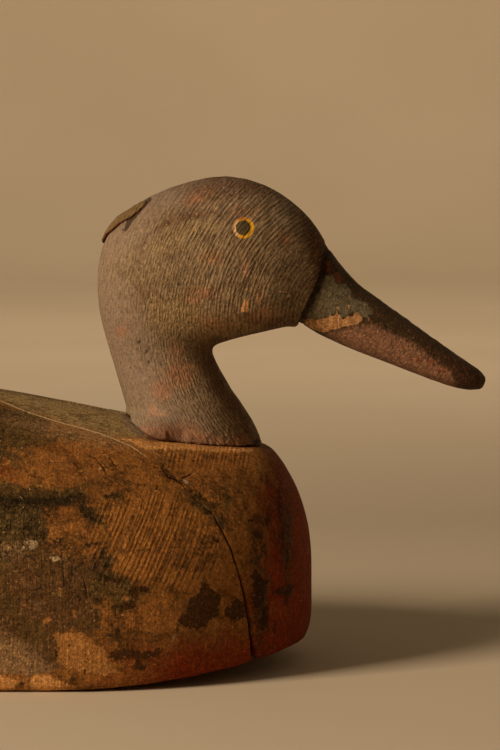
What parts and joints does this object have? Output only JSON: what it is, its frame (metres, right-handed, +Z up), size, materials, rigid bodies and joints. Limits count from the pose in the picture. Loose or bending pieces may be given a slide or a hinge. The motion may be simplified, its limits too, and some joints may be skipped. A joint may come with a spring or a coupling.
{
  "type": "duck decoy",
  "caption": "Carved and painted wooden duck decoy with a flat underside, a separately carved head on its neck, a long sloping bill and a repair patch on the crown.",
  "frame": {"origin": "on the table under the middle of the bounding box", "axes": "+X towards the bill, +Y to the duck's left side, +Z up"},
  "size_m": [0.413, 0.164, 0.1871],
  "materials": {
    "body_paint": "worn ochre brown paint over dark primer, flaked to bare wood",
    "head_paint": "dull taupe paint over rasped wood, slate and red brown on the bill",
    "patch_paint": "dull taupe paint with a bare red brown edge"
  },
  "bodies": {
    "root": {"body": "body_paint", "head": "head_paint", "crown_patch": "patch_paint"}
  },
  "joints": []
}
